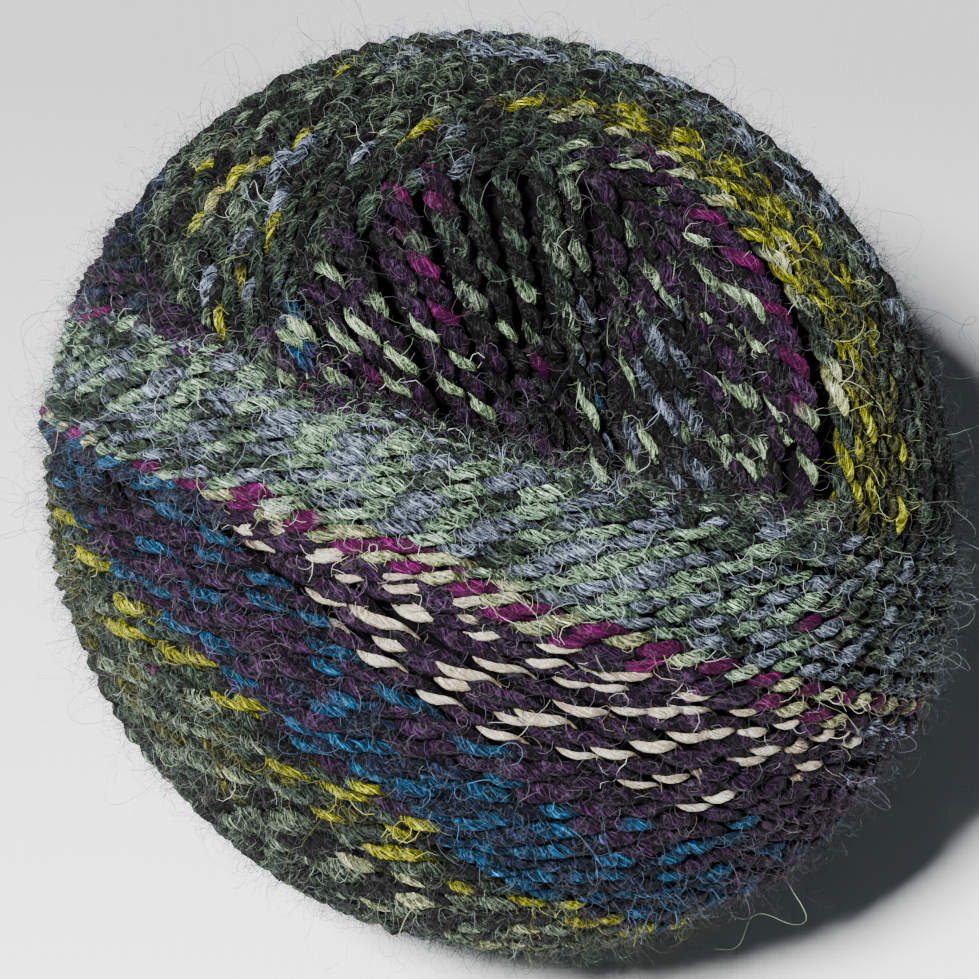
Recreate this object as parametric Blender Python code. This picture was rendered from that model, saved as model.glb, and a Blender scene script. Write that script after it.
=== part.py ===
"""A hand-wound ball of thick-and-thin wool yarn, lying on a table.

The ball is one closed body. Its core is slightly egg-shaped. A ring of turns leaves a deep
hollow over the winding axis, and the two swathes that were wound last cross the front of the
ball and bridge the near side of that hollow. The main turns stand up as low ridges.
"""

import collections
import math

import bmesh
import bpy
from mathutils import Vector

# Driving dimensions, in metres
LONG_HALF = 0.0510
MIDDLE_HALF = 0.0480
SHORT_HALF = 0.0470
REST_RADIUS = 0.0130
HOLLOW_DEPTH = 0.0190
RIDGE_HEIGHT = 0.0007

# The egg's three axes: it is longest from its upper far left to its lower near right
LONG_AXIS = Vector((0.669, -0.630, -0.394)).normalized()
MIDDLE_AXIS = Vector((0.743, 0.567, 0.355)).normalized()
SHORT_AXIS = Vector((0.0, -0.530, 0.848)).normalized()

# The hollow opens beside the ring's axis, so its right wall is the steeper one, and steep turns
# line it
HOLLOW_AXIS = Vector((0.220, -0.393, 0.893)).normalized()
HOLLOW_FLOOR_ANGLE = math.radians(12.0)
HOLLOW_RIM_ANGLE = math.radians(40.0)
STEEP_TURNS_AXIS = Vector((0.970, 0.200, 0.120)).normalized()
STEEP_TURNS_PITCH = 0.0100

# A swathe is a band of turns around its own axis, between two latitudes in degrees. It rises
# above the egg, its edges slope over some degrees, and its ridges are a pitch apart. The
# swathes are listed in the order in which they were wound.
Swathe = collections.namedtuple("Swathe", "axis low high rise edge pitch")
SWATHES = (
    Swathe(axis=(0.080, -0.395, 0.915), low=-75.0, high=47.0, rise=0.0000, edge=9.0, pitch=0.0095),
    Swathe(axis=(0.543, 0.554, 0.631), low=-50.0, high=6.0, rise=0.0003, edge=6.0, pitch=0.0090),
    Swathe(axis=(0.290, 0.760, 0.576), low=-15.0, high=9.0, rise=0.0007, edge=5.0, pitch=0.0085),
)

# Cuts across each side of the cube that is rounded into the ball, and how near a point has to be
# to the flat spot's plane to be moved onto it
CUTS = 26
SNAP = 0.0002

YARN_COLOUR = (0.16, 0.17, 0.17, 1.0)
YARN_ROUGHNESS = 0.92


def clear_scene():
    for obj in list(bpy.data.objects):
        bpy.data.objects.remove(obj, do_unlink=True)


def smooth(value):
    """0 below 0, 1 above 1, and an even slope between them."""
    value = min(max(value, 0.0), 1.0)
    return value * value * (3.0 - 2.0 * value)


def angle_from(direction, axis):
    return math.acos(min(max(direction.dot(axis), -1.0), 1.0))


def egg_radius(direction):
    along_long = direction.dot(LONG_AXIS) / LONG_HALF
    along_middle = direction.dot(MIDDLE_AXIS) / MIDDLE_HALF
    along_short = direction.dot(SHORT_AXIS) / SHORT_HALF
    return 1.0 / math.sqrt(along_long**2 + along_middle**2 + along_short**2)


def ridge(distance, pitch):
    return RIDGE_HEIGHT * math.cos(2.0 * math.pi * distance / pitch)


def hollow_radius(direction):
    """The wall and floor of the hollow, with the ridges of its steep turns."""
    from_axis = angle_from(direction, HOLLOW_AXIS)
    slope = (HOLLOW_RIM_ANGLE - from_axis) / (HOLLOW_RIM_ANGLE - HOLLOW_FLOOR_ANGLE)
    radius = egg_radius(direction) - HOLLOW_DEPTH * smooth(slope)
    return radius + ridge(radius * direction.dot(STEEP_TURNS_AXIS), STEEP_TURNS_PITCH)


def swathe_cover(swathe, latitude):
    """How far the swathe covers what lies under it at this latitude, from 0 to 1."""
    into_low = smooth((latitude - swathe.low) / swathe.edge + 0.5)
    into_high = smooth((swathe.high - latitude) / swathe.edge + 0.5)
    return into_low * into_high


def ball_radius(direction):
    """The distance from the ball's middle to its surface, each swathe laid over the last."""
    radius = hollow_radius(direction)
    for swathe in SWATHES:
        latitude = 0.5 * math.pi - angle_from(direction, Vector(swathe.axis).normalized())
        egg = egg_radius(direction)
        level = egg + swathe.rise + ridge(egg * latitude, swathe.pitch)
        cover = swathe_cover(swathe, math.degrees(latitude))
        radius += (level - radius) * cover
    return radius


def round_direction(corner):
    """The way from the middle to a point of the cube, spread so that its faces stay alike."""
    spread = [math.tan(0.25 * math.pi * part) for part in corner]
    return Vector(spread).normalized()


def raise_ball(mesh):
    """Rounds a finely cut cube into the ball, before its flat spot is made."""
    bmesh.ops.create_cube(mesh, size=2.0)
    bmesh.ops.subdivide_edges(mesh, edges=mesh.edges[:], cuts=CUTS, use_grid_fill=True)
    for vert in mesh.verts:
        direction = round_direction(vert.co)
        vert.co = direction * ball_radius(direction)


def flatten_foot(mesh):
    """Cuts the small flat spot that the ball rests on, and closes it."""
    rest_height = math.sqrt(egg_radius(Vector((0.0, 0.0, -1.0))) ** 2 - REST_RADIUS**2)
    everything = mesh.verts[:] + mesh.edges[:] + mesh.faces[:]
    bmesh.ops.bisect_plane(
        mesh,
        geom=everything,
        dist=SNAP,
        plane_co=(0.0, 0.0, -rest_height),
        plane_no=(0.0, 0.0, -1.0),
        clear_outer=True,
    )
    rim = [edge for edge in mesh.edges if edge.is_boundary]
    for edge in rim:
        for vert in edge.verts:
            vert.co.z = -rest_height
    bmesh.ops.edgeloop_fill(mesh, edges=rim)
    loose = [vert for vert in mesh.verts if not vert.link_faces]
    bmesh.ops.delete(mesh, geom=loose, context="VERTS")


def stand_on_origin(mesh):
    """Moves the ball so that the origin is under the middle of its box, at the surface."""
    middle = Vector((0.0, 0.0, min(vert.co.z for vert in mesh.verts)))
    for axis in (0, 1):
        places = [vert.co[axis] for vert in mesh.verts]
        middle[axis] = 0.5 * (min(places) + max(places))
    bmesh.ops.translate(mesh, verts=mesh.verts[:], vec=-middle)


def yarn_material():
    material = bpy.data.materials.new("wool_yarn")
    material.use_nodes = True
    shader = material.node_tree.nodes["Principled BSDF"]
    shader.inputs["Base Color"].default_value = YARN_COLOUR
    shader.inputs["Roughness"].default_value = YARN_ROUGHNESS
    shader.inputs["Metallic"].default_value = 0.0
    return material


def make_ball():
    mesh = bmesh.new()
    raise_ball(mesh)
    flatten_foot(mesh)
    stand_on_origin(mesh)
    bmesh.ops.triangulate(mesh, faces=mesh.faces[:])
    bmesh.ops.recalc_face_normals(mesh, faces=mesh.faces[:])
    data = bpy.data.meshes.new("yarn_ball")
    mesh.to_mesh(data)
    mesh.free()
    data.shade_smooth()
    data.materials.append(yarn_material())
    return bpy.data.objects.new("yarn_ball", data)


def main():
    clear_scene()
    collection = bpy.data.collections.new("yarn_ball")
    bpy.context.scene.collection.children.link(collection)
    collection.objects.link(make_ball())


main()
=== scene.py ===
"""Dresses the wound ball of wool yarn.

The yarn is one long strand of two plies, twisted to the left. It is laid turn by turn on the
ball's wound form, in the order in which it was wound: steep turns that line the hollow, a ring
around the hollow, and two swathes across the front. Loose fibres stand off it all over.
"""

import collections
import math

import bpy
import numpy as np
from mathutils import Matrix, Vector, kdtree


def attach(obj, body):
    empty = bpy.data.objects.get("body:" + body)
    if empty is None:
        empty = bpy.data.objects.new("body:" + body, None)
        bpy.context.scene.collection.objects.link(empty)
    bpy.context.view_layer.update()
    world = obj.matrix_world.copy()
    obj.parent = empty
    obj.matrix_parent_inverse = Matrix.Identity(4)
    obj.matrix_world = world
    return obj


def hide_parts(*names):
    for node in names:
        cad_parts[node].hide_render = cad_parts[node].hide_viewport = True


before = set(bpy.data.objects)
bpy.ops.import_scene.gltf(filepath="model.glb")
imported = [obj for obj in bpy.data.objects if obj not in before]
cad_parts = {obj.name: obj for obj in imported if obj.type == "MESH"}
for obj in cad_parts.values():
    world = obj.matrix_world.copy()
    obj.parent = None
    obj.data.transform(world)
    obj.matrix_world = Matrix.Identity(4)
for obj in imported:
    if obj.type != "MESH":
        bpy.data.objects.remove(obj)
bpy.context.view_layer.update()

NODE = "yarn_ball"

# The wound form, in metres: the same driving dimensions as the solid's
LONG_HALF = 0.0510
MIDDLE_HALF = 0.0480
SHORT_HALF = 0.0470
REST_RADIUS = 0.0130
HOLLOW_DEPTH = 0.0190
LONG_AXIS = (0.669, -0.630, -0.394)
MIDDLE_AXIS = (0.743, 0.567, 0.355)
SHORT_AXIS = (0.0, -0.530, 0.848)
HOLLOW_AXIS = (0.220, -0.393, 0.893)
HOLLOW_FLOOR_ANGLE = math.radians(12.0)
HOLLOW_RIM_ANGLE = math.radians(40.0)

# The camera's side of the ball: right, up and towards the camera at its elevation
ELEVATION = math.radians(58.0)
VIEW_RIGHT = np.array((1.0, 0.0, 0.0))
VIEW_UP = np.array((0.0, math.sin(ELEVATION), math.cos(ELEVATION)))
VIEW_BACK = np.array((0.0, -math.cos(ELEVATION), math.sin(ELEVATION)))

# The strand, in metres: its points are a step apart, and a ply's middle is this share of the other
# ply's radius from the strand's middle. Lumps is how uneven a ply's skin is, as a share.
STEP = 0.00066
SIDES = 5
PLY_RADIUS = 0.00066
PLIES_APART = 0.80
LUMPS = 0.11
TURN_HALF = 0.0011
FLOOR_GAP = 0.0001

# A ply bulges where it lies on top of the other, the more so the thinner it is spun. Where it is
# tucked under it shrinks, and its colour is darkened there as painted shade.
SWELL = 0.12
THIN_SWELL = 1.6
MOST_THINNESS = 0.4
SWELL_MIDDLE = 0.5
LEAST_SWELLING = 0.4
TUCKED_PAINTED_SHADE = 0.35
TUCKED_BELOW = -0.35
TUCKED_FADE = 0.80

# How many points each turn has before its points are set evenly, how often the turns in the
# hollow are flattened, and the most that the sine of their latitude may be
COARSE_POINTS = 90
FLATTENINGS = 8
MOST_RISE = 0.9

# What is uneven along the strand: how strong a wave is, how long it is in metres, and the number
# that keeps its noise apart from the other waves'. Their strength is a share, but for the wander
# of the dyes around the turn, which is in degrees.
Wave = collections.namedtuple("Wave", "swing length number")
DYE_WANDER = Wave(6.0, 0.050, 12)
ACCENTS = Wave(1.0, 0.009, 21)
SHADES = Wave(0.36, 0.004, 31)
TWIST_WAVE = Wave(0.20, 0.025, 41)
THICK_WAVE = Wave(0.16, 0.040, 42)
SPUN_WAVE = Wave(0.26, 0.007, 43)

# What moves a turn off its place: how strong a wave is, how many of them a turn has, and its number
TurnWave = collections.namedtuple("TurnWave", "swing rate number")
SLOW_STRAY = TurnWave(0.45, 3.1, 0)
QUICK_STRAY = TurnWave(0.30, 9.7, 1)
WHOLE_STRAY = TurnWave(0.25, 7.3, 2)
DEPTH_STRAY = TurnWave(1.0, 5.3, 5)

# Over how many points a dye, a ply's thickness and the sinking of a covered turn change
DYE_BLEND = 3
SPUN_BLEND = 5
SINK_BLEND = 5

# A later swathe covers a point that is this near one of its turns, fading over some degrees, and
# its own first and last turns cover less. A point that is covered by more than a share isn't
# built, but for a few points at the ends of each stretch, and a covered turn sinks by some of its
# half thicknesses. A stretch has a least number of points.
COVER_REACH = math.radians(2.9)
COVER_FADE = math.radians(1.3)
COVER_TURNS = 1.3
COVERED = 0.80
TUCK = 5
COVERED_SINK = 1.7
SHORTEST = 8

# How far the hollow dips under the egg, in metres. From the shallow dip to the deep one, more and
# more of the turns on its wall go on under the swathe that bridges it, and the bridge's layers are
# built where it is deeper than the bridged dip.
SHALLOW_DIP = 0.0030
DEEP_DIP = 0.0080
BRIDGED_DIP = 0.0030

# The yarn deep between the turns, painted near black as the shade there, is this far under the
# wound form, in metres
CORE_DEPTH = 0.0046
CORE_SEGMENTS = 96
CORE_RINGS = 64

# A mesh of plies takes no more of them once it has this many triangles
FULL_MESH = 185200

# The bake sheet: a step's row of faces is this many times wider than high, a column has a margin,
# and all end caps share one place
ROW_SHAPE = 4.6
COLUMN_MARGIN = 0.06
CAP_PLACE = 0.001
CENTIMETRES = 100.0

# All random draws start from one seed. The noise waves share a lattice of random heights: a wave's
# number is a stride further along it, and a swathe's numbers are a stride apart.
SEED = 7
LATTICE_SIZE = 4096
NUMBER_STRIDE = 131
SWATHE_STRIDE = 100

# Dyes by name: the colour, as sRGB shares of 255, how thick a ply of that colour is spun, and its
# fuzz, which is how freely loose fibres stand off it. The dye attribute's alpha is the fuzz.
Dye = collections.namedtuple("Dye", "colour thick fuzz")
DYES = {
    "plum": Dye((29, 10, 33), 1.26, 0.9),
    "night": Dye((12, 11, 12), 1.20, 0.7),
    "moss": Dye((30, 41, 32), 1.12, 1.0),
    "slate": Dye((84, 93, 107), 1.10, 0.9),
    "shale": Dye((62, 68, 80), 1.02, 0.8),
    "grey_slub": Dye((94, 104, 120), 1.50, 0.7),
    "mint": Dye((102, 130, 102), 1.02, 0.9),
    "leaf": Dye((128, 156, 114), 0.78, 0.55),
    "celery": Dye((146, 154, 108), 0.92, 0.55),
    "pale_slub": Dye((146, 148, 84), 1.55, 0.5),
    "cream": Dye((236, 216, 180), 0.68, 0.12),
    "magenta": Dye((72, 0, 56), 1.10, 0.25),
    "blue": Dye((4, 50, 78), 1.06, 0.8),
    "navy": Dye((8, 16, 34), 1.15, 1.0),
    "yellow": Dye((117, 120, 2), 0.96, 0.6),
    "olive": Dye((46, 48, 14), 1.04, 1.0),
    "lichen": Dye((66, 77, 62), 1.06, 1.0),
}

# A band of the wound form, with its edges' slope, all in degrees but for its rise in metres
Band = collections.namedtuple("Band", "axis low high rise edge")
BANDS = (
    Band(axis=(0.080, -0.395, 0.915), low=-75.0, high=47.0, rise=0.0000, edge=9.0),
    Band(axis=(0.543, 0.554, 0.631), low=-50.0, high=6.0, rise=0.0003, edge=6.0),
    Band(axis=(0.290, 0.760, 0.576), low=-15.0, high=9.0, rise=0.0007, edge=5.0),
)

# A swathe of turns. Each key gives, at a turn, the lean of the turn's axis from the camera's up
# towards its right (roll) and towards the camera (tilt), and the turn's latitude, in degrees.
# The level is the number of bands it lies on top of, and it sinks under that level by some
# metres. A turn strays from its place by degrees and by metres of depth. Thick is how thick its
# strand is against the others, and twist the length of one twist of its plies.
Key = collections.namedtuple("Key", "turn roll tilt latitude")
Swathe = collections.namedtuple("Swathe", "name level sink stray depth thick twist keys")
SWATHES = (
    Swathe(
        name="under_turns",
        level=0,
        sink=0.0019,
        stray=2.0,
        depth=0.0008,
        thick=1.15,
        twist=0.0066,
        keys=(
            Key(turn=0.0, roll=60.0, tilt=6.0, latitude=-14.0),
            Key(turn=18.0, roll=84.0, tilt=6.0, latitude=42.0),
        ),
    ),
    Swathe(
        name="hollow_turns",
        level=0,
        sink=0.0,
        stray=2.2,
        depth=0.0015,
        thick=1.08,
        twist=0.0068,
        keys=(
            Key(turn=0.0, roll=50.0, tilt=0.0, latitude=-15.0),
            Key(turn=4.0, roll=57.0, tilt=0.0, latitude=-8.5),
            Key(turn=8.0, roll=68.0, tilt=0.0, latitude=0.5),
            Key(turn=12.0, roll=80.0, tilt=0.0, latitude=10.5),
            Key(turn=17.0, roll=84.0, tilt=0.0, latitude=24.0),
            Key(turn=20.0, roll=79.0, tilt=0.0, latitude=32.0),
            Key(turn=23.0, roll=72.0, tilt=0.0, latitude=41.5),
        ),
    ),
    Swathe(
        name="ring_turns",
        level=1,
        sink=0.0,
        stray=0.7,
        depth=0.0005,
        thick=1.0,
        twist=0.0064,
        keys=(
            Key(turn=0.0, roll=28.0, tilt=80.0, latitude=-64.0),
            Key(turn=46.6, roll=28.0, tilt=80.0, latitude=53.5),
        ),
    ),
    Swathe(
        name="lower_turns",
        level=2,
        sink=0.0,
        stray=0.8,
        depth=0.0004,
        thick=1.0,
        twist=0.0084,
        keys=(
            Key(turn=0.0, roll=40.0, tilt=17.0, latitude=-50.0),
            Key(turn=24.0, roll=30.0, tilt=12.0, latitude=7.0),
        ),
    ),
    Swathe(
        name="upper_turns",
        level=3,
        sink=0.0,
        stray=0.5,
        depth=0.0004,
        thick=1.0,
        twist=0.0074,
        keys=(
            Key(turn=0.0, roll=28.0, tilt=2.0, latitude=-17.0),
            Key(turn=1.0, roll=21.0, tilt=2.5, latitude=-14.0),
            Key(turn=3.4, roll=19.0, tilt=4.5, latitude=-8.4),
            Key(turn=11.5, roll=15.0, tilt=5.0, latitude=10.5),
        ),
    ),
)

# The under layers of the last swathe, which show from above where it bridges the hollow. They lie
# down the slope that its edge makes there, and nowhere else, and no swathe covers them.
BRIDGE = Swathe(
    name="bridge_turns",
    level=3,
    sink=0.0002,
    stray=0.15,
    depth=0.0004,
    thick=1.0,
    twist=0.0074,
    keys=(
        Key(turn=0.0, roll=15.0, tilt=5.0, latitude=6.9),
        Key(turn=12.0, roll=15.0, tilt=5.0, latitude=12.4),
    ),
)

# Where a run of dye shows: from its first turn to its last, and between two places around the
# turn, in degrees, where 0 is nearest the camera and 90 is its right. Where it has end places, it
# moves evenly to those at its last turn. A ply takes the accent over a share of its length. A
# later row is dyed over the earlier ones.
RUN_FIELDS = "first last places ply_a ply_b accent share end_places"
Run = collections.namedtuple("Run", RUN_FIELDS, defaults=(None,))
ALL_ROUND = (-180, 180)
RUNS = {
    "under_turns": (Run(-1, 30, ALL_ROUND, "night", "night", "plum", 0.30),),
    "hollow_turns": (
        Run(-1, 30, ALL_ROUND, "night", "plum", "lichen", 0.30),
        Run(-1, 30, (-34, -12), "plum", "leaf", "night", 0.18),
        Run(9, 12, (-36, 60), "night", "leaf", "plum", 0.34),
        Run(9, 14, (-60, -30), "night", "moss", "lichen", 0.30),
        Run(12, 18, (-30, 60), "night", "shale", "leaf", 0.14),
        Run(14, 17, (14, 60), "night", "slate", "shale", 0.30),
        Run(18, 30, (-36, 60), "plum", "night", "lichen", 0.30),
        Run(19, 21, (-36, 60), "plum", "leaf", "night", 0.36),
        Run(22, 23, (-36, 60), "plum", "leaf", "night", 0.40),
        Run(0, 3, (-29, -18), "magenta", "plum", "magenta", 0.15),
        Run(2, 4, (-37, -31), "blue", "leaf", "blue", 0.0),
        Run(2, 5, (-26, -16), "magenta", "plum", "magenta", 0.0),
        Run(8, 9, (-37, -26), "plum", "magenta", "plum", 0.0),
        Run(8, 10, (-50, -41), "magenta", "plum", "magenta", 0.0),
        Run(11, 12, (-24, -16), "magenta", "night", "magenta", 0.0),
        Run(13, 14, (-21, -14), "blue", "night", "blue", 0.0),
    ),
    "ring_turns": (
        Run(-1, 60, ALL_ROUND, "moss", "night", "lichen", 0.20),
        Run(0, 6, ALL_ROUND, "moss", "olive", "slate", 0.20),
        Run(6, 24, ALL_ROUND, "moss", "slate", "lichen", 0.40),
        Run(28, 34, (-108, -70), "navy", "night", "navy", 0.20),
        Run(33, 43, (-150, -60), "moss", "lichen", "night", 0.36),
        Run(43, 60, (-150, -60), "night", "moss", "slate", 0.10),
        Run(28, 37, (140, 225), "slate", "night", "lichen", 0.40),
        Run(38, 41, (100, 160), "yellow", "moss", "olive", 0.34, (108, 210)),
        Run(41, 43, (98, 208), "yellow", "olive", "celery", 0.14, (98, 212)),
        Run(43, 44, (96, 136), "yellow", "moss", "celery", 0.12),
        Run(43, 44, (150, 208), "yellow", "moss", "celery", 0.35),
        Run(44, 45, (108, 190), "magenta", "plum", "leaf", 0.14),
        Run(45, 60, (96, 200), "plum", "leaf", "night", 0.22),
        Run(43, 44, (-90, -76), "yellow", "moss", "yellow", 0.0),
        Run(43, 45, (-118, -94), "yellow", "olive", "moss", 0.40, (-112, -97)),
        Run(43, 44, (-136, -127), "yellow", "moss", "yellow", 0.0),
        Run(38, 39, (-106, -94), "yellow", "pale_slub", "moss", 0.0),
        Run(39, 40, (-118, -110), "yellow", "moss", "yellow", 0.0),
        Run(35, 36, (-107, -98), "yellow", "olive", "yellow", 0.0),
        Run(34, 35, (-140, -130), "yellow", "moss", "yellow", 0.0),
        Run(42, 43, (-108, -97), "grey_slub", "moss", "slate", 0.0),
        Run(41, 42, (-94, -84), "moss", "grey_slub", "slate", 0.0),
        Run(40, 41, (-122, -111), "grey_slub", "slate", "slate", 0.0),
        Run(36, 37, (-162, -148), "slate", "grey_slub", "slate", 0.0),
        Run(32, 33, (-174, -160), "grey_slub", "moss", "slate", 0.0),
        Run(44, 45, (-100, -92), "moss", "grey_slub", "slate", 0.0),
    ),
    "lower_turns": (
        Run(-1, 40, ALL_ROUND, "moss", "lichen", "olive", 0.36),
        Run(0, 7, (-60, 60), "night", "lichen", "celery", 0.20),
        Run(0, 7, (-60, -4), "moss", "lichen", "olive", 0.36),
        Run(5, 7, (-8, 26), "yellow", "moss", "olive", 0.30, (-6, 34)),
        Run(7, 8, (-46, 62), "yellow", "moss", "night", 0.40),
        Run(8, 9, (-58, 84), "yellow", "plum", "blue", 0.28),
        Run(9, 17, (-120, 66), "blue", "plum", "plum", 0.44, (-120, 90)),
        Run(9, 16, (-76, -52), "blue", "navy", "night", 0.30, (-76, -46)),
        Run(9, 16, (-150, -76), "navy", "night", "plum", 0.30),
        Run(11, 12, (-76, -42), "blue", "navy", "blue", 0.0),
        Run(15, 16, (-70, -30), "blue", "navy", "blue", 0.0),
        Run(9, 13, (-6, 66), "blue", "navy", "plum", 0.20),
        Run(17, 40, (-62, 120), "plum", "plum", "navy", 0.12),
        Run(16, 40, (-150, -60), "navy", "night", "plum", 0.30),
        Run(7, 9, (-64, -20), "yellow", "moss", "olive", 0.12),
        Run(6, 7, (-40, -32), "yellow", "moss", "olive", 0.12),
        Run(5, 6, (-38, -30), "yellow", "moss", "olive", 0.12),
        Run(15, 16, (-9, 22), "cream", "plum", "plum", 0.10),
        Run(16, 18, (-18, 48), "cream", "plum", "plum", 0.14, (-32, 52)),
        Run(18, 26, (-16, 54), "cream", "plum", "plum", 0.26, (-52, 62)),
        Run(5, 6, (-26, -23), "magenta", "moss", "magenta", 0.0),
    ),
    "upper_turns": (
        Run(-1, 40, ALL_ROUND, "mint", "slate", "moss", 0.24),
        Run(-1, 40, (-180, -26), "mint", "slate", "moss", 0.40),
        Run(-1, 3, (-110, -34), "blue", "plum", "navy", 0.40),
        Run(-1, 3, (-34, 64), "cream", "plum", "plum", 0.24),
        Run(-1, 3, (64, 110), "slate", "plum", "night", 0.36),
        Run(2, 3, (6, 60), "celery", "magenta", "plum", 0.22),
        Run(3, 4, (-110, 100), "celery", "magenta", "mint", 0.26),
        Run(4, 5, (-40, 6), "celery", "magenta", "mint", 0.40),
        Run(4, 7, (46, 120), "slate", "lichen", "magenta", 0.16),
        Run(7, 30, (46, 120), "slate", "lichen", "moss", 0.25),
        Run(10, 12, (-78, -66), "magenta", "slate", "mint", 0.20),
    ),
    "bridge_turns": (
        Run(-1, 30, ALL_ROUND, "mint", "slate", "moss", 0.36),
        Run(4, 30, ALL_ROUND, "moss", "lichen", "plum", 0.36),
    ),
}

random = np.random.RandomState(SEED)
LATTICE = random.uniform(-1.0, 1.0, LATTICE_SIZE)


def unit(vectors):
    return vectors / np.linalg.norm(vectors, axis=-1, keepdims=True)


def smooth(value):
    """0 below 0, 1 above 1, and an even slope between them."""
    value = np.clip(value, 0.0, 1.0)
    return value * value * (3.0 - 2.0 * value)


def noise(place, number):
    """A smooth wave of random height from -1 to 1, about one swing for each step of place."""
    cell = np.floor(place).astype(int)
    share = smooth(place - cell)
    low = LATTICE[(cell + NUMBER_STRIDE * number) % len(LATTICE)]
    high = LATTICE[(cell + 1 + NUMBER_STRIDE * number) % len(LATTICE)]
    return low + (high - low) * share


def wave_along(length, wave, seed):
    return wave.swing * noise(length / wave.length, seed + wave.number)


def wave_over_turns(turn, wave, seed):
    return wave.swing * noise(turn * wave.rate, seed + wave.number)


def linear(dye):
    """A colour's linear red, green and blue, from its sRGB shares of 255."""
    share = np.array(DYES[dye].colour) / 255.0
    return np.where(share <= 0.04045, share / 12.92, ((share + 0.055) / 1.055) ** 2.4)


def along_axis(directions, axis):
    return directions @ unit(np.array(axis))


def egg_radius(directions):
    halves = ((LONG_AXIS, LONG_HALF), (MIDDLE_AXIS, MIDDLE_HALF), (SHORT_AXIS, SHORT_HALF))
    return sum((along_axis(directions, axis) / half) ** 2 for axis, half in halves) ** -0.5


def latitude_of(directions, axis):
    return np.degrees(np.arcsin(np.clip(along_axis(directions, axis), -1.0, 1.0)))


def hollow_radius(directions):
    from_axis = np.radians(90.0 - latitude_of(directions, HOLLOW_AXIS))
    slope = (HOLLOW_RIM_ANGLE - from_axis) / (HOLLOW_RIM_ANGLE - HOLLOW_FLOOR_ANGLE)
    return egg_radius(directions) - HOLLOW_DEPTH * smooth(slope)


def band_cover(band, directions):
    """How far the band covers what lies under it, from 0 to 1."""
    latitude = latitude_of(directions, band.axis)
    into_low = smooth((latitude - band.low) / band.edge + 0.5)
    into_high = smooth((band.high - latitude) / band.edge + 0.5)
    return into_low * into_high


def wound_radius(directions, level):
    """From the ball's middle to its surface, once this many bands have been wound."""
    radius = hollow_radius(directions)
    for band in BANDS[:level]:
        top = egg_radius(directions) + band.rise
        radius = radius + (top - radius) * band_cover(band, directions)
    return radius


MIDDLE_HEIGHT = math.sqrt(float(egg_radius(np.array((0.0, 0.0, -1.0)))) ** 2 - REST_RADIUS**2)
MIDDLE = np.array((0.0, 0.0, MIDDLE_HEIGHT))


def from_view(right, up, back):
    return right[:, None] * VIEW_RIGHT + up[:, None] * VIEW_UP + back[:, None] * VIEW_BACK


def turn_frames(swathe, turn):
    """The axis, the near side and the right side of the turns, and their latitudes."""
    turns = [key.turn for key in swathe.keys]
    roll = np.radians(np.interp(turn, turns, [key.roll for key in swathe.keys]))
    tilt = np.radians(np.interp(turn, turns, [key.tilt for key in swathe.keys]))
    latitude = np.interp(turn, turns, [key.latitude for key in swathe.keys])
    axis = from_view(np.sin(roll) * np.cos(tilt), np.cos(roll) * np.cos(tilt), np.sin(tilt))
    near = from_view(-np.sin(roll) * np.sin(tilt), -np.cos(roll) * np.sin(tilt), np.cos(tilt))
    right = from_view(np.cos(roll), -np.sin(roll), 0.0 * roll)
    return axis, near, right, latitude


def stray_latitude(swathe, turn, seed):
    """Turns lie neither quite straight nor quite evenly."""
    slow = wave_over_turns(turn, SLOW_STRAY, seed)
    quick = wave_over_turns(turn, QUICK_STRAY, seed)
    whole = wave_over_turns(np.floor(turn), WHOLE_STRAY, seed)
    return swathe.stray * (slow + quick + whole)


def even_turns(swathe):
    """The turn count at even steps along the strand."""
    last = swathe.keys[-1].turn
    coarse = np.linspace(0.0, last, int(last * COARSE_POINTS) + 1)
    latitude = turn_frames(swathe, coarse)[3]
    pace = 2.0 * math.pi * MIDDLE_HALF * np.cos(np.radians(latitude))
    length = np.concatenate([[0.0], np.cumsum(np.diff(coarse) * 0.5 * (pace[1:] + pace[:-1]))])
    return np.interp(np.arange(0.0, length[-1], STEP), length, coarse)


def turn_directions(swathe, seed):
    """Every point of the strand over this swathe, as its turn, its place around the turn and the
    way to it from the ball's middle. The turns in the hollow stay flat as they dip into it."""
    turn = even_turns(swathe)
    axis, near, right, latitude = turn_frames(swathe, turn)
    latitude = np.radians(latitude + stray_latitude(swathe, turn, seed))[:, None]
    around = (2.0 * math.pi * (turn - np.floor(turn)) - math.pi)[:, None]
    level_circle = np.cos(around) * near + np.sin(around) * right
    rise = np.sin(latitude)
    outward = rise * axis + np.sqrt(1.0 - rise**2) * level_circle
    for _ in range(FLATTENINGS if swathe.level == 0 else 0):
        reach = wound_radius(outward, swathe.level)[:, None]
        level_rise = np.clip(np.sin(latitude) * MIDDLE_HALF / reach, -MOST_RISE, MOST_RISE)
        rise = 0.5 * (rise + level_rise)
        outward = rise * axis + np.sqrt(1.0 - rise**2) * level_circle
    return turn, np.degrees(around[:, 0]), outward


def averaged(values, width):
    """Each value made the mean of those near it."""
    padded = np.pad(values, width // 2, mode="edge")
    return np.convolve(padded, np.ones(width) / width, "valid")[: len(values)]


def later_cover(outward, later):
    """How far the swathes wound later cover each point, from 0 to 1."""
    cover = np.zeros(len(outward))
    for turn, _, ways in later:
        depth_in = np.minimum(turn - turn[0], turn[-1] - turn)
        weight = smooth(depth_in / COVER_TURNS)
        tree = kdtree.KDTree(len(ways))
        for index, way in enumerate(ways):
            tree.insert(way, index)
        tree.balance()
        found = [tree.find(way)[1:] for way in outward]
        nearest = np.array([index for index, _ in found])
        apart = np.array([distance for _, distance in found])
        cover = np.maximum(cover, weight[nearest] * smooth((COVER_REACH - apart) / COVER_FADE))
    return cover


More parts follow.
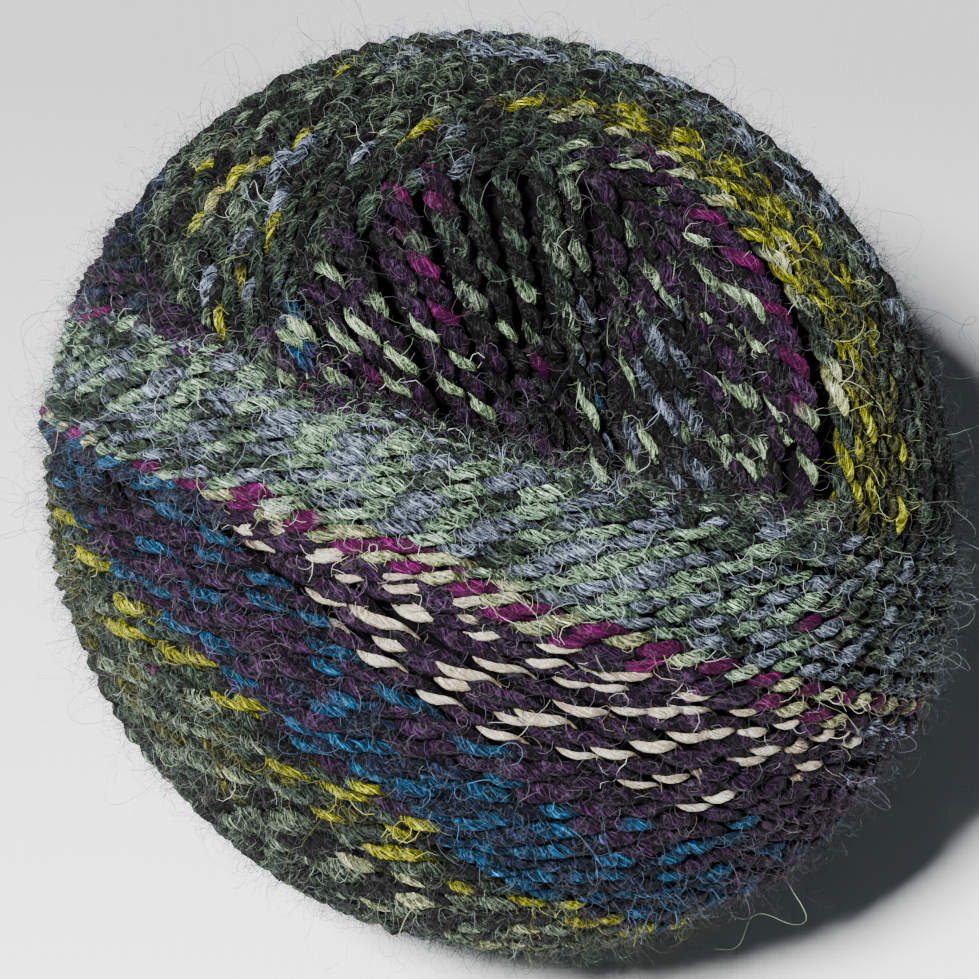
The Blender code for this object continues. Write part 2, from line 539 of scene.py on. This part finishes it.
def shown(swathe, outward, cover):
    """Which points of the strand are built: those in sight, and the next few."""
    dip = egg_radius(outward) - hollow_radius(outward)
    if swathe.level == 0:
        shallow = smooth((DEEP_DIP - dip) / (DEEP_DIP - SHALLOW_DIP))
        cover = np.maximum(cover * shallow, band_cover(BANDS[0], outward))
    if swathe is BRIDGE:
        cover = np.where(dip > BRIDGED_DIP, 0.0, 1.0)
    return averaged((cover < COVERED).astype(float), 2 * TUCK + 1) > 0.0


def lay_turns(swathe, laid, later, seed):
    """The strand's middle line, its way out of the ball, and which of its points are built."""
    turn, _, outward = laid
    cover = later_cover(outward, later)
    radius = wound_radius(outward, swathe.level) - TURN_HALF - swathe.sink
    radius = radius + swathe.depth * wave_over_turns(turn, DEPTH_STRAY, seed)
    radius = radius - COVERED_SINK * TURN_HALF * averaged(cover, SINK_BLEND)
    middle = MIDDLE + radius[:, None] * outward
    middle[:, 2] = np.maximum(middle[:, 2], TURN_HALF + FLOOR_GAP)
    return middle, outward, shown(swathe, outward, cover)


def stretches(built):
    """The first and last index of each unbroken stretch of built points."""
    edges = np.flatnonzero(np.diff(np.concatenate([[0], built.astype(int), [0]])))
    pairs = edges.reshape(-1, 2)
    return [(first, last) for first, last in pairs if last - first >= SHORTEST]


def dye_plies(swathe, turn, around, length, seed):
    """The linear colour, the thickness and the fuzz of both plies at each point."""
    names = list(DYES)
    chosen = np.zeros((3, len(turn)), int)
    share = np.zeros(len(turn))
    moved = around + wave_along(length, DYE_WANDER, seed)
    for run in RUNS[swathe.name]:
        through = np.clip((turn - run.first) / (run.last - run.first), 0.0, 1.0)
        places, end_places = run.places, run.end_places or run.places
        start = places[0] + (end_places[0] - places[0]) * through
        end = places[1] + (end_places[1] - places[1]) * through
        inside = (turn >= run.first) & (turn < run.last) & ((moved - start) % 360.0 <= end - start)
        for row, name in enumerate((run.ply_a, run.ply_b, run.accent)):
            chosen[row][inside] = names.index(name)
        share[inside] = run.share
    palette = np.array([linear(name) for name in names])
    thickness = np.array([DYES[name].thick for name in names])
    fuzz = np.array([DYES[name].fuzz for name in names])
    dyed = []
    for ply in (0, 1):
        accent = wave_along(length, ACCENTS, seed + ply) > 1.0 - 2.0 * share
        index = np.where(accent, chosen[2], chosen[ply])
        painted = palette[index]
        colour = np.stack([averaged(painted[:, row], DYE_BLEND) for row in range(3)], axis=1)
        colour = colour * (1.0 + wave_along(length, SHADES, seed + ply))[:, None]
        spun = averaged(thickness[index], SPUN_BLEND)
        dyed.append((colour, spun, averaged(fuzz[index], SPUN_BLEND)))
    return dyed


Ply = collections.namedtuple("Ply", "centre radius outward colour length fuzz")


def swollen(angle, spun):
    """A ply's thickness as it turns around the strand, against its mean."""
    swell = SWELL + THIN_SWELL * np.clip(1.0 - spun, 0.0, MOST_THINNESS)
    return np.maximum(1.0 + swell * (np.cos(angle) - SWELL_MIDDLE), LEAST_SWELLING)


# Painted shade: a ply's colour is darkened where it turns under the other ply.
def painted_tucked_shade(angle):
    on_top = smooth((np.cos(angle) - TUCKED_BELOW) / TUCKED_FADE)
    return TUCKED_PAINTED_SHADE + (1.0 - TUCKED_PAINTED_SHADE) * on_top


def twist_plies(swathe, laid, later, seed):
    """Both plies of every built stretch of the swathe, as tubes' middle lines."""
    turn, around, _ = laid
    middle, outward, built = lay_turns(swathe, laid, later, seed)
    pieces = np.linalg.norm(np.diff(middle, axis=0), axis=1)
    length = np.concatenate([[0.0], np.cumsum(pieces)])
    dyed = dye_plies(swathe, turn, around, length, seed)
    twist = swathe.twist * (1.0 + wave_along(length, TWIST_WAVE, seed))
    phase = np.cumsum(np.gradient(length) / twist) * 2.0 * math.pi
    thick = swathe.thick * (1.0 + wave_along(length, THICK_WAVE, seed))
    radii = []
    for ply, (_, spun, _) in enumerate(dyed):
        uneven = 1.0 + wave_along(length, SPUN_WAVE, seed + ply)
        radii.append(PLY_RADIUS * thick * spun * uneven)
    along = unit(np.gradient(middle, axis=0))
    side = unit(np.cross(along, outward))
    out = np.cross(side, along)
    plies = []
    for first, last in stretches(built):
        part = slice(first, last)
        for ply in (0, 1):
            angle = phase[part] + math.pi * ply
            offset = PLIES_APART * radii[1 - ply][part]
            swing = np.cos(angle)[:, None] * out[part] - np.sin(angle)[:, None] * side[part]
            centre = middle[part] + offset[:, None] * swing
            colour, spun, fuzz = (values[part] for values in dyed[ply])
            radius = radii[ply][part] * swollen(angle, spun)
            # The colour takes painted shade where the ply is tucked under.
            colour = colour * painted_tucked_shade(angle)[:, None]
            plies.append(Ply(centre, radius, out[part], colour, length[part], fuzz))
    return plies


class Tubes:
    """Closed tubes gathered into one mesh, with a colour for each point: its dye, darkened as
    painted shade where a ply is tucked under.
    """

    def __init__(self, sides, lumps):
        self.sides = sides
        self.lumps = lumps
        self.angles = 2.0 * math.pi * np.arange(sides) / sides
        self.points = []
        self.colours = []
        self.quads = []
        self.caps = []
        self.lengths = []
        self.count = 0

    def add(self, ply):
        centre, radius, outward, colour, length, fuzz = ply
        steps = len(centre)
        along = unit(np.gradient(centre, axis=0))
        first = unit(outward - np.sum(outward * along, axis=1, keepdims=True) * along)
        second = np.cross(along, first)
        turn = np.cos(self.angles)[None, :, None] * first[:, None, :]
        turn = turn + np.sin(self.angles)[None, :, None] * second[:, None, :]
        lumpy = 1.0 + self.lumps * random.uniform(-1.0, 1.0, (steps, self.sides, 1))
        rings = centre[:, None, :] + radius[:, None, None] * lumpy * turn
        rings[..., 2] = np.maximum(rings[..., 2], FLOOR_GAP)
        self.points.append(rings.reshape(-1, 3))
        painted = np.hstack([colour, fuzz[:, None]])
        self.colours.append(np.repeat(painted, self.sides, axis=0))
        ring = self.count + self.sides * np.arange(steps - 1)[:, None]
        here = ring + np.arange(self.sides)[None, :]
        there = ring + (np.arange(self.sides)[None, :] + 1) % self.sides
        quads = np.stack([here, there, there + self.sides, here + self.sides], axis=-1)
        self.quads.append(quads.reshape(-1, 4))
        self.lengths.append(np.stack([length[:-1], length[1:]], axis=1))
        start = self.count + np.arange(self.sides)[::-1]
        end = self.count + self.sides * (steps - 1) + np.arange(self.sides)
        self.caps.append(start)
        self.caps.append(end)
        self.count += steps * self.sides

    def triangles(self):
        return 2 * sum(len(quads) for quads in self.quads) + len(self.caps) * (self.sides - 2)

    def mesh(self, name):
        points = np.concatenate(self.points)
        quads = np.concatenate(self.quads)
        caps = np.array(self.caps)
        corners = np.concatenate([quads.ravel(), caps.ravel()])
        quad_starts = 4 * np.arange(len(quads))
        cap_starts = 4 * len(quads) + self.sides * np.arange(len(caps))
        mesh = bpy.data.meshes.new(name)
        mesh.vertices.add(len(points))
        mesh.vertices.foreach_set("co", points.astype(np.float32).ravel())
        mesh.loops.add(len(corners))
        mesh.loops.foreach_set("vertex_index", corners.astype(np.int32))
        mesh.polygons.add(len(quads) + len(caps))
        starts = np.concatenate([quad_starts, cap_starts])
        mesh.polygons.foreach_set("loop_start", starts.astype(np.int32))
        mesh.update(calc_edges=True)
        mesh.shade_smooth()
        self.paint(mesh)
        self.map_strand(mesh, len(caps))
        self.map_bake(mesh, len(quads), len(caps))
        return mesh

    def paint(self, mesh):
        colours = np.concatenate(self.colours).astype(np.float32)
        layer = mesh.color_attributes.new("dye", "FLOAT_COLOR", "POINT")
        layer.data.foreach_set("color", colours.ravel())

    def map_strand(self, mesh, cap_count):
        """Around the ply in turns, and along it in centimetres."""
        lengths = CENTIMETRES * np.concatenate(self.lengths)
        around = np.tile(np.arange(self.sides) / self.sides, len(lengths))
        start = np.repeat(lengths[:, 0], self.sides)
        end = np.repeat(lengths[:, 1], self.sides)
        step = around + 1.0 / self.sides
        across = np.stack([around, step, step, around], axis=1)
        along = np.stack([start, start, end, end], axis=1)
        quad_map = np.stack([across, along], axis=-1).reshape(-1, 2)
        cap_map = np.zeros((cap_count * self.sides, 2))
        layer = mesh.uv_layers.new(name="strand")
        layer.data.foreach_set("uv", np.concatenate([quad_map, cap_map]).astype(np.float32).ravel())

    def map_bake(self, mesh, quad_count, cap_count):
        """Every step of every tube in its own place, in columns of a square sheet."""
        steps = quad_count // self.sides
        columns = max(1, int(math.sqrt(steps / ROW_SHAPE)))
        rows = math.ceil(steps / columns) + 1
        column = np.arange(steps) // rows
        row = np.arange(steps) % rows
        width = 1.0 / (column.max() + 1)
        inset = COLUMN_MARGIN * width
        stride = (width - 2.0 * inset) / self.sides
        left = column[:, None] * width + inset + stride * np.arange(self.sides)[None, :]
        left = left.ravel()
        low = np.repeat(row / rows, self.sides)
        high = np.repeat((row + 1) / rows, self.sides)
        across = np.stack([left, left + stride, left + stride, left], axis=1)
        up = np.stack([low, low, high, high], axis=1)
        quad_map = np.stack([across, up], axis=-1).reshape(-1, 2)
        cap_map = np.full((cap_count * self.sides, 2), CAP_PLACE)
        layer = mesh.uv_layers.new(name="OFBake")
        layer.data.foreach_set("uv", np.concatenate([quad_map, cap_map]).astype(np.float32).ravel())


# The wool's look. Its fibres lean around the ply by some radians a centimetre, and their noise is
# stretched along it. Peaks of that noise are brighter than the dye and troughs darker, more so the
# fuzzier the dye is: the fibres' own tone, with painted highlights on the fibres and painted shade
# between them. Two webs of thin pale hairs, each with a scale and a width, cross them, with a grey
# lift of painted sheen.
FIBRE_LEAN = 12.0
FIBRE_STRETCH = 2.4
FIBRE_NOISE = {"Scale": 2.9, "Detail": 3.0, "Roughness": 0.65, "Distortion": 0.9}
FIBRE_RANGE = {"From Min": 0.39, "From Max": 0.64}
# The streaks' peaks and troughs hold painted highlights and painted shade
PEAK_POWER = 2.4
PEAK_GAIN = 4.6
PEAK_DROP = 1.15
MEAN_TONE = 0.90
PILE_BASE = 0.60
PILE_GAIN = 0.62
HAIR_WEBS = ((420.0, 0.022), (700.0, 0.030))
HAIR_NOISE = {"Detail": 1.0, "Distortion": 0.7}
NOISE_MEAN = 0.5
HAIR_TONE = 1.5
# A grey lift on the hairs, as painted sheen
HAIR_PAINTED_SHEEN = 0.030
HAIR_HEIGHT = 0.6
PALEST = (0.82, 0.80, 0.78)
PLY_BUMP = {"Strength": 1.0, "Distance": 0.00030}
PLY_FINISH = {"Roughness": 0.75, "Specular IOR Level": 0.10}
FIBRE_FINISH = {"Roughness": 0.6, "Specular IOR Level": 0.20}
CORE_FINISH = {"Roughness": 1.0, "Specular IOR Level": 0.0}
CORE_NOISE = {"Scale": 900.0, "Detail": 2.0}
# The deep yarn's colours are near black: painted shade between the turns
CORE_PAINTED_SHADE_COLOURS = ((0.001, 0.001, 0.001, 1.0), (0.006, 0.005, 0.006, 1.0))


def set_inputs(node, inputs):
    for name, value in inputs.items():
        node.inputs[name].default_value = value


def add_node(tree, kind, inputs=None, **properties):
    """A new node, with its inputs and its own properties set by name."""
    node = tree.nodes.new(kind)
    for name, value in properties.items():
        setattr(node, name, value)
    set_inputs(node, inputs or {})
    return node


def maths(tree, operation, *values):
    """A Math node whose inputs are sockets or numbers."""
    node = add_node(tree, "ShaderNodeMath", operation=operation)
    for socket, value in zip(node.inputs, values):
        if isinstance(value, bpy.types.NodeSocket):
            tree.links.new(value, socket)
        else:
            socket.default_value = value
    return node.outputs[0]


def noise_on_object(tree, inputs):
    """A noise texture that is fixed to the piece, as a socket."""
    place = add_node(tree, "ShaderNodeTexCoord")
    texture = add_node(tree, "ShaderNodeTexNoise", inputs)
    tree.links.new(place.outputs["Object"], texture.inputs["Vector"])
    return texture.outputs[0]


def add_ramp(tree, colours):
    ramp = add_node(tree, "ShaderNodeValToRGB")
    for element, colour in zip(ramp.color_ramp.elements, colours):
        element.color = colour
    return ramp


def add_bump(tree, height, inputs):
    bump = add_node(tree, "ShaderNodeBump", inputs)
    tree.links.new(height, bump.inputs["Height"])
    return bump


def new_material(name, finish):
    """A new material, its node tree and its shader."""
    material = bpy.data.materials.new(name)
    material.use_nodes = True
    shader = material.node_tree.nodes["Principled BSDF"]
    set_inputs(shader, finish)
    return material, material.node_tree, shader


def hair_web(tree, scale, width):
    """Thin curling lines at random over a surface, as 1 on a line and 0 off it."""
    field = noise_on_object(tree, {"Scale": scale, **HAIR_NOISE})
    apart = maths(tree, "ABSOLUTE", maths(tree, "SUBTRACT", field, NOISE_MEAN))
    ends = {"From Max": width, "To Min": 1.0, "To Max": 0.0}
    line = add_node(tree, "ShaderNodeMapRange", ends)
    tree.links.new(apart, line.inputs["Value"])
    return line.outputs[0]


def fibre_height(tree):
    """Fine fibres that lean around the ply, as their height from 0 to 1."""
    strand = add_node(tree, "ShaderNodeUVMap", uv_map="strand")
    split = add_node(tree, "ShaderNodeSeparateXYZ")
    tree.links.new(strand.outputs["UV"], split.inputs[0])
    around = maths(tree, "MULTIPLY", split.outputs["X"], 2.0 * math.pi)
    lean = maths(tree, "MULTIPLY", split.outputs["Y"], FIBRE_LEAN)
    angle = maths(tree, "SUBTRACT", around, lean)
    place = add_node(tree, "ShaderNodeCombineXYZ")
    tree.links.new(maths(tree, "COSINE", angle), place.inputs["X"])
    tree.links.new(maths(tree, "SINE", angle), place.inputs["Y"])
    tree.links.new(maths(tree, "MULTIPLY", split.outputs["Y"], FIBRE_STRETCH), place.inputs["Z"])
    fibres = add_node(tree, "ShaderNodeTexNoise", FIBRE_NOISE)
    tree.links.new(place.outputs[0], fibres.inputs["Vector"])
    height = add_node(tree, "ShaderNodeMapRange", FIBRE_RANGE)
    tree.links.new(fibres.outputs[0], height.inputs["Value"])
    return height.outputs[0]


def yarn_material():
    """Wool plies: fine leaning fibres under a web of crossing hairs, with painted highlights, shade
    and sheen in their colour.
    """
    material, tree, shader = new_material("wool_plies", PLY_FINISH)
    dye = add_node(tree, "ShaderNodeAttribute", attribute_name="dye")
    pile = maths(tree, "MULTIPLY", maths(tree, "ADD", dye.outputs["Alpha"], PILE_BASE), PILE_GAIN)
    height = fibre_height(tree)
    # Painted highlights on the fibre peaks and painted shade in the troughs, with the fibres' own
    # tone
    peaks = maths(tree, "MULTIPLY", maths(tree, "POWER", height, PEAK_POWER), PEAK_GAIN)
    lit_and_shaded_streaks = maths(tree, "MULTIPLY", maths(tree, "SUBTRACT", peaks, PEAK_DROP), pile)
    webs = [hair_web(tree, scale, width) for scale, width in HAIR_WEBS]
    hairs = maths(tree, "MULTIPLY", maths(tree, "MAXIMUM", *webs), pile)
    tone = maths(tree, "ADD", lit_and_shaded_streaks, MEAN_TONE)
    tone = maths(tree, "ADD", tone, maths(tree, "MULTIPLY", hairs, HAIR_TONE))
    shade = add_node(tree, "ShaderNodeVectorMath", operation="SCALE")
    tree.links.new(dye.outputs["Color"], shade.inputs[0])
    tree.links.new(tone, shade.inputs["Scale"])
    # Painted sheen: the hairs get a grey lift
    paler = add_node(tree, "ShaderNodeVectorMath", operation="ADD")
    tree.links.new(shade.outputs[0], paler.inputs[0])
    tree.links.new(maths(tree, "MULTIPLY", hairs, HAIR_PAINTED_SHEEN), paler.inputs[1])
    capped = add_node(tree, "ShaderNodeVectorMath", operation="MINIMUM")
    capped.inputs[1].default_value = PALEST
    tree.links.new(paler.outputs[0], capped.inputs[0])
    tree.links.new(capped.outputs[0], shader.inputs["Base Color"])
    raised = maths(tree, "ADD", height, maths(tree, "MULTIPLY", hairs, HAIR_HEIGHT))
    bump = add_bump(tree, raised, PLY_BUMP)
    tree.links.new(bump.outputs[0], shader.inputs["Normal"])
    return material


def fibre_material():
    """Loose fibres, which carry their own hues."""
    material, tree, shader = new_material("loose_fibres", FIBRE_FINISH)
    dye = add_node(tree, "ShaderNodeAttribute", attribute_name="dye")
    tree.links.new(dye.outputs["Color"], shader.inputs["Base Color"])
    return material


def core_material():
    """The yarn deep between the turns, painted near black as the shade between them."""
    material, tree, shader = new_material("deep_yarn", CORE_FINISH)
    # Painted shade: the deep yarn is near black
    ramp = add_ramp(tree, CORE_PAINTED_SHADE_COLOURS)
    mottle = add_node(tree, "ShaderNodeTexNoise", CORE_NOISE)
    tree.links.new(mottle.outputs[0], ramp.inputs[0])
    tree.links.new(ramp.outputs[0], shader.inputs["Base Color"])
    return material


def add_piece(name, mesh, material):
    mesh.materials.append(material)
    piece = bpy.data.objects.new(name, mesh)
    bpy.context.scene.collection.objects.link(piece)
    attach(piece, "root")
    return piece


def make_core(material):
    """The wound form two turns' thickness down, which closes the gaps between turns."""
    bpy.ops.mesh.primitive_uv_sphere_add(segments=CORE_SEGMENTS, ring_count=CORE_RINGS, radius=1.0)
    ball = bpy.context.object
    mesh = ball.data
    points = np.empty(3 * len(mesh.vertices), np.float32)
    mesh.vertices.foreach_get("co", points)
    outward = unit(points.reshape(-1, 3).astype(float))
    radius = wound_radius(outward, len(BANDS)) - CORE_DEPTH
    placed = MIDDLE + radius[:, None] * outward
    placed[:, 2] = np.maximum(placed[:, 2], 2.0 * FLOOR_GAP)
    mesh.vertices.foreach_set("co", placed.astype(np.float32).ravel())
    mesh.update()
    mesh.shade_smooth()
    bpy.data.objects.remove(ball)
    mesh.name = "deep_yarn"
    piece = add_piece("deep_yarn", mesh, material)
    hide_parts(NODE)


def make_turns(material):
    """Lays every swathe, and returns all its plies, where the loose fibres grow."""
    all_plies = []
    wound = SWATHES + (BRIDGE,)
    seeds = [SWATHE_STRIDE * number for number in range(len(wound))]
    laid = [turn_directions(swathe, seed) for swathe, seed in zip(wound, seeds)]
    for number, swathe in enumerate(wound):
        later = laid[number + 1 : len(SWATHES)]
        plies = twist_plies(swathe, laid[number], later, seeds[number])
        all_plies += plies
        batches = [Tubes(SIDES, LUMPS)]
        for ply in plies:
            batches[-1].add(ply)
            if batches[-1].triangles() > FULL_MESH:
                batches.append(Tubes(SIDES, LUMPS))
        for index, tubes in enumerate(batches):
            if tubes.count:
                name = f"{swathe.name}_{index + 1}"
                add_piece(name, tubes.mesh(name), material)
    return all_plies


# Loose fibres: how many, how many steps each has, how long they are, how high they hover over the
# ball, how sharply they curl, how much they lean across their ply, their width at the root, and
# how much they are turned at random from facing outwards. Lengths are in metres.
Fibres = collections.namedtuple("Fibres", "name count steps length height curl lean width askew")
FIBRES = (
    Fibres("down", 30000, 3, (0.0014, 0.0034), (0.0, 0.0005), 1.2, 1.0, 0.000062, 0.3),
    Fibres("curls", 16000, 8, (0.0035, 0.0080), (0.0001, 0.0020), 1.2, 0.9, 0.000058, 0.7),
    Fibres("strays", 200, 24, (0.0120, 0.0300), (0.0015, 0.0055), 0.36, 0.6, 0.000070, 1.0),
)

# A fibre seldom grows on a ply deep between the turns. It starts on the ply's skin, leans aside
# and upwards, and curls around an axis that changes at each step, while it is pulled to its height.
GROWTH = 1.3
GROWTH_DEPTH = 0.0028
LEAST_GROWTH = 0.05
ROOT_HEIGHT = 0.8
MOST_ASIDE = 0.6
MOST_UPWARDS = 0.8
CURL_SPREAD = (0.3, 1.5)
AXIS_CHANGE = 0.55
PULL = 0.55
PULL_REACH = 0.0020
MOST_PULL = 0.8

# A fibre's hue is its ply's, with the ply's painted shade, and a little greyed as painted sheen.
# Most are darker than their ply and a few far paler.
PAINTED_SHEEN_SHARE = 0.16
PAINTED_SHEEN_GREY = (0.10, 0.11, 0.11)
DARKEST_HUE = 0.25
PALER_HUE = 3.4
HUE_POWER = 2.5
PALEST_HUE = 0.40
TIP_WIDTH = 0.5
BAKE_ROOM = (0.1, 0.9)

Roots = collections.namedtuple("Roots", "centre outward radius colour along chance")


def gather_roots(plies):
    """Every point of every ply, and the chance that a fibre grows there."""
    centre = np.concatenate([ply.centre for ply in plies])
    outward = unit(centre - MIDDLE)
    radius = np.concatenate([ply.radius for ply in plies])
    colour = np.concatenate([ply.colour for ply in plies])
    along = np.concatenate([unit(np.gradient(ply.centre, axis=0)) for ply in plies])
    fuzz = np.concatenate([ply.fuzz for ply in plies])
    depth = wound_radius(outward, len(BANDS)) - np.linalg.norm(centre - MIDDLE, axis=1)
    chance = fuzz * np.clip(GROWTH - depth / GROWTH_DEPTH, LEAST_GROWTH, 1.0)
    return Roots(centre, outward, radius, colour, along, chance / chance.sum())


def grow(place, heading, reach, height, curl, steps):
    """Curling lines that start at their places and hover near a height above the ball."""
    spin = unit(random.normal(size=(len(place), 3)))
    line = [place]
    step = reach / steps
    for _ in range(steps):
        spin = unit(spin + AXIS_CHANGE * random.normal(size=(len(place), 3)))
        heading = unit(heading + curl[:, None] * np.cross(spin, heading))
        out = unit(place - MIDDLE)
        above = np.linalg.norm(place - MIDDLE, axis=1) - wound_radius(out, len(BANDS))
        pull = np.clip((height - above) / PULL_REACH, -MOST_PULL, MOST_PULL)
        heading = unit(heading + PULL * pull[:, None] * out)
        place = place + step[:, None] * heading
        line.append(place)
    return np.stack(line, axis=1)


def grow_fibres(kind, count, roots):
    """A number of fibres of one kind, as lines, the ways that they face, and their hues."""
    picked = random.choice(len(roots.centre), count, p=roots.chance)
    out = roots.outward[picked]
    along = roots.along[picked]
    across = np.cross(along, out)
    aside = random.uniform(-1.0, 1.0, (count, 1))
    sign = np.where(random.uniform(size=(count, 1)) < 0.5, -1.0, 1.0)
    heading = sign * (along + kind.lean * across) + MOST_ASIDE * aside * across
    heading = unit(heading + random.uniform(0.0, MOST_UPWARDS, (count, 1)) * out)
    skin = ROOT_HEIGHT * roots.radius[picked][:, None] * unit(out + aside * across)
    reach = random.uniform(*kind.length, count)
    height = random.uniform(*kind.height, count)
    curl = kind.curl * random.uniform(*CURL_SPREAD, count)
    lines = grow(roots.centre[picked] + skin, heading, reach, height, curl, kind.steps)
    facing = unit(out + kind.askew * random.normal(size=(count, 3)))
    # Painted sheen: the hue is greyed a little
    hues = (1.0 - PAINTED_SHEEN_SHARE) * roots.colour[picked] + PAINTED_SHEEN_SHARE * np.array(PAINTED_SHEEN_GREY)
    paler = DARKEST_HUE + PALER_HUE * random.uniform(size=(count, 1)) ** HUE_POWER
    return lines, facing, np.minimum(hues * paler, PALEST_HUE)


def ribbon_mesh(name, lines, facing, width, hues):
    """Flat fibres along the lines, each with its own hue and its own place on the bake map."""
    count, points = lines.shape[:2]
    along = np.gradient(lines, axis=1)
    taper = np.linspace(1.0, TIP_WIDTH, points)[None, :, None]
    side = 0.5 * width * taper * unit(np.cross(along, facing[:, None, :]))
    corners = np.stack([lines - side, lines + side], axis=2).reshape(-1, 3)
    corners[:, 2] = np.maximum(corners[:, 2], FLOOR_GAP)
    first = 2 * (points * np.arange(count)[:, None] + np.arange(points - 1)[None, :]).ravel()
    quads = np.stack([first, first + 1, first + 3, first + 2], axis=1)
    mesh = bpy.data.meshes.new(name)
    mesh.vertices.add(len(corners))
    mesh.vertices.foreach_set("co", corners.astype(np.float32).ravel())
    mesh.loops.add(quads.size)
    mesh.loops.foreach_set("vertex_index", quads.astype(np.int32).ravel())
    mesh.polygons.add(len(quads))
    mesh.polygons.foreach_set("loop_start", (4 * np.arange(len(quads))).astype(np.int32))
    mesh.update(calc_edges=True)
    mesh.shade_smooth()
    painted = np.ones((len(corners), 4), np.float32)
    painted[:, :3] = np.repeat(hues, 2 * points, axis=0)
    layer = mesh.color_attributes.new("dye", "FLOAT_COLOR", "POINT")
    layer.data.foreach_set("color", painted.ravel())
    columns = math.ceil(math.sqrt(count))
    cell = np.stack([np.arange(count) % columns, np.arange(count) // columns], axis=1)
    ends = np.linspace(*BAKE_ROOM, points)
    place = np.stack(np.meshgrid(ends, BAKE_ROOM, indexing="ij"), axis=-1)
    spots = (cell[:, None, None, :] + place[None]) / columns
    layer = mesh.uv_layers.new(name="OFBake")
    layer.data.foreach_set("uv", spots.reshape(-1, 2)[quads.ravel()].astype(np.float32).ravel())
    return mesh


def make_fibres(plies, material):
    roots = gather_roots(plies)
    for kind in FIBRES:
        batches = math.ceil(2 * kind.count * kind.steps / FULL_MESH)
        for batch in range(batches):
            lines, facing, hues = grow_fibres(kind, kind.count // batches, roots)
            name = f"{kind.name}_{batch + 1}"
            add_piece(name, ribbon_mesh(name, lines, facing, kind.width, hues), material)


# The floor is a pale cloth, painted darker behind the ball as the lamp's light falls off. Its
# threads and soft folds are bump.
FLOOR_SIZE = 12.0
FLOOR_FINISH = {"Roughness": 0.95}
# Painted light: where the cloth's colour fades from lit to shaded, and its two ends
FLOOR_PAINTED_FALLOFF = {"From Min": -0.07, "From Max": 0.09}
FLOOR_PAINTED_LIGHT_COLOURS = ((0.93, 0.93, 0.94, 1.0), (0.33, 0.33, 0.345, 1.0))
THREAD_WAVES = {"Scale": 520.0, "Distortion": 1.2}
THREAD_BUMP = {"Strength": 0.25, "Distance": 0.00006}
FOLD_NOISE = {"Scale": 14.0}
FOLD_BUMP = {"Strength": 0.5, "Distance": 0.004}


def cloth_normal(tree):
    """The threads, both ways across the cloth, on its soft folds."""
    place = add_node(tree, "ShaderNodeTexCoord")
    threads = []
    for direction in ("X", "Y"):
        thread = add_node(tree, "ShaderNodeTexWave", THREAD_WAVES, bands_direction=direction)
        tree.links.new(place.outputs["Object"], thread.inputs["Vector"])
        threads.append(thread.outputs["Color"])
    folds = add_bump(tree, noise_on_object(tree, FOLD_NOISE), FOLD_BUMP)
    weave = add_bump(tree, maths(tree, "ADD", *threads), THREAD_BUMP)
    tree.links.new(folds.outputs[0], weave.inputs["Normal"])
    return weave.outputs[0]


def floor_material():
    material, tree, shader = new_material("pale_cloth", FLOOR_FINISH)
    place = add_node(tree, "ShaderNodeTexCoord")
    split = add_node(tree, "ShaderNodeSeparateXYZ")
    tree.links.new(place.outputs["Object"], split.inputs[0])
    # Painted light: the colour darkens further back, as the lamp's light falls off
    across = add_node(tree, "ShaderNodeMapRange", FLOOR_PAINTED_FALLOFF)
    tree.links.new(split.outputs["Y"], across.inputs["Value"])
    painted_falloff = add_ramp(tree, FLOOR_PAINTED_LIGHT_COLOURS)
    tree.links.new(across.outputs[0], painted_falloff.inputs[0])
    tree.links.new(painted_falloff.outputs[0], shader.inputs["Base Color"])
    tree.links.new(cloth_normal(tree), shader.inputs["Normal"])
    return material


def make_floor():
    bpy.ops.mesh.primitive_plane_add(size=FLOOR_SIZE, location=(0.0, 0.0, 0.0))
    floor = bpy.context.object
    floor.name = "floor"
    floor.data.materials.append(floor_material())


# The photograph's frame is 979 pixels wide, and a pixel at the ball is 0.109 mm
FRAME_PIXELS = 979
PIXEL = 0.000109
BALL_PIXEL = (503.0, 492.0)
CAMERA_DISTANCE = 0.60
SENSOR = 0.036
MILLIMETRES = 1000.0


def look_at(obj, target):
    direction = target - np.array(obj.location)
    obj.rotation_euler = Vector(direction).to_track_quat("-Z", "Y").to_euler()


def make_camera():
    data = bpy.data.cameras.new("camera")
    data.sensor_width = MILLIMETRES * SENSOR
    data.lens = MILLIMETRES * SENSOR * CAMERA_DISTANCE / (FRAME_PIXELS * PIXEL)
    camera = bpy.data.objects.new("camera", data)
    bpy.context.scene.collection.objects.link(camera)
    right = (0.5 * FRAME_PIXELS - BALL_PIXEL[0]) * PIXEL
    up = (BALL_PIXEL[1] - 0.5 * FRAME_PIXELS) * PIXEL
    target = MIDDLE + right * VIEW_RIGHT + up * VIEW_UP
    camera.location = target + CAMERA_DISTANCE * VIEW_BACK
    look_at(camera, target)
    bpy.context.scene.camera = camera


# One soft lamp from the upper left, and a weak bluish light from all round
KEY_WAY = (-0.345, -0.312, 0.92)
KEY_DISTANCE = 1.6
KEY_POWER = 126.0
KEY_SIZE = 0.28
WORLD_LIGHT = {"Color": (0.80, 0.90, 1.0, 1.0), "Strength": 0.088}


def make_lights():
    data = bpy.data.lights.new("key", "AREA")
    data.energy = KEY_POWER
    data.size = KEY_SIZE
    lamp = bpy.data.objects.new("key", data)
    lamp.location = MIDDLE + KEY_DISTANCE * unit(np.array(KEY_WAY))
    bpy.context.scene.collection.objects.link(lamp)
    look_at(lamp, MIDDLE)
    world = bpy.data.worlds.new("world")
    world.use_nodes = True
    set_inputs(world.node_tree.nodes["Background"], WORLD_LIGHT)
    bpy.context.scene.world = world


make_core(core_material())
plies = make_turns(yarn_material())
make_fibres(plies, fibre_material())
make_floor()
make_camera()
make_lights()
